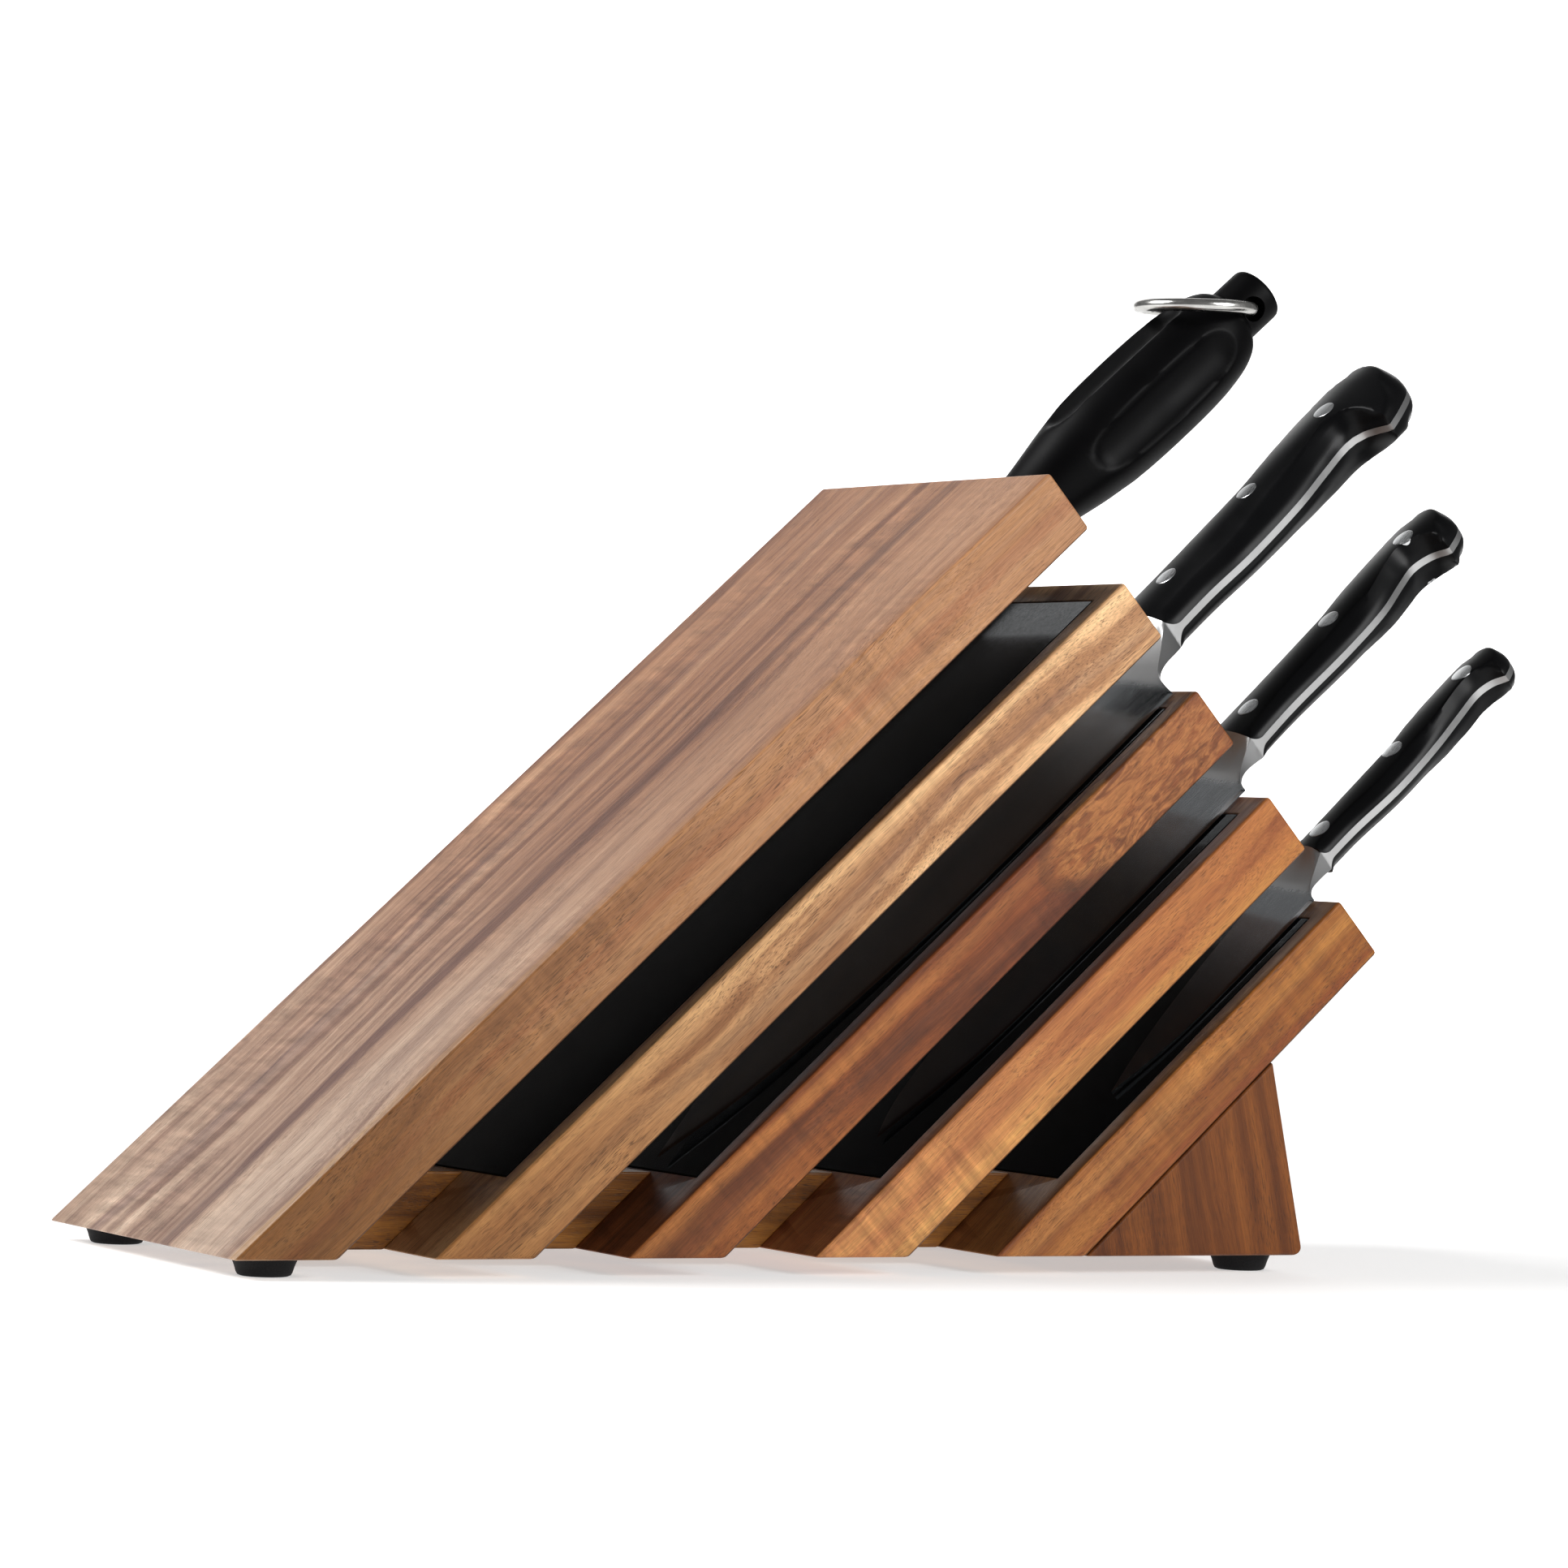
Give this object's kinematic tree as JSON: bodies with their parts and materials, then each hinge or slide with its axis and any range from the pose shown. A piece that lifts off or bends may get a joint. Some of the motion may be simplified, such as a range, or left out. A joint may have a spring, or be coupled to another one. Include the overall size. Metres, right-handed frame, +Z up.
{
  "type": "knife magnetic rack",
  "caption": "Cascading wooden magnetic knife rack of slanted boards with black magnet panels, holding knives and a honing steel.",
  "frame": {"origin": "middle of the whole object's footprint, on the surface that the feet stand on", "axes": "+X from the tallest board towards the shortest and the handles, +Y from the side that the cutting edges face towards the far side, +Z up"},
  "size_m": [0.4191, 0.13, 0.2928],
  "materials": {
    "board_1_wood": "oiled, fine open pores",
    "board_2_wood": "oiled, fine open pores",
    "board_3_wood": "oiled, figured",
    "board_4_wood": "oiled, reddish",
    "board_5_wood": "oiled",
    "spacer_wood": "oiled",
    "wedge_wood": "oiled",
    "black_panel": "high gloss",
    "magnet": "bare",
    "dowel_wood": "bare beech",
    "foot_rubber": "matte",
    "screw_steel": "bright",
    "blade_steel": "polished blade, satin bolster",
    "handle_scale": "satin",
    "rivet_steel": "satin",
    "rod_steel": "fine lengthwise grooves",
    "steel_grip": "matte, fine texture",
    "ring_steel": "polished wire"
  },
  "bodies": {
    "block": {"board_1": "board_1_wood", "board_2": "board_2_wood", "board_3": "board_3_wood", "board_4": "board_4_wood", "board_5": "board_5_wood", "spacer_1": "spacer_wood", "spacer_2": "spacer_wood", "spacer_3": "spacer_wood", "spacer_4": "spacer_wood", "support_wedge": "wedge_wood", "magnet_panel_2": "black_panel", "magnet_panel_3": "black_panel", "magnet_panel_4": "black_panel", "magnet_panel_5": "black_panel", "bar_magnets_2": "magnet", "bar_magnets_3": "magnet", "bar_magnets_4": "magnet", "bar_magnets_5": "magnet", "joint_dowels": "dowel_wood", "foot_near_left": "foot_rubber", "foot_near_right": "foot_rubber", "foot_far_left": "foot_rubber", "foot_far_right": "foot_rubber", "foot_screws": "screw_steel"},
    "chef_knife": {"chef_blade": "blade_steel", "chef_upper_scale": "handle_scale", "chef_lower_scale": "handle_scale", "chef_rivets": "rivet_steel"},
    "utility_knife": {"utility_blade": "blade_steel", "utility_upper_scale": "handle_scale", "utility_lower_scale": "handle_scale", "utility_rivets": "rivet_steel"},
    "paring_knife": {"paring_blade": "blade_steel", "paring_upper_scale": "handle_scale", "paring_lower_scale": "handle_scale", "paring_rivets": "rivet_steel"},
    "honing_steel": {"steel_rod": "rod_steel", "steel_handle": "steel_grip"},
    "ring": {"hanging_ring": "ring_steel"}
  },
  "joints": [
    {"name": "chef_draw", "type": "slide", "parent": "block", "child": "chef_knife", "axis": [0.7361, 0, 0.6769], "range_m": [0, 0.22]},
    {"name": "utility_draw", "type": "slide", "parent": "block", "child": "utility_knife", "axis": [0.7361, 0, 0.6769], "range_m": [0, 0.17]},
    {"name": "paring_draw", "type": "slide", "parent": "block", "child": "paring_knife", "axis": [0.7361, 0, 0.6769], "range_m": [0, 0.11]},
    {"name": "steel_draw", "type": "slide", "parent": "block", "child": "honing_steel", "axis": [0.7354, -0.0436, 0.6762], "range_m": [0, 0.25]},
    {"name": "ring_swing", "type": "hinge", "parent": "honing_steel", "child": "ring", "pos_m": [0.1384, 0.01256, 0.28114], "axis": [0.0321, 0.999, 0.0295], "range_deg": [0, 278]}
  ]
}
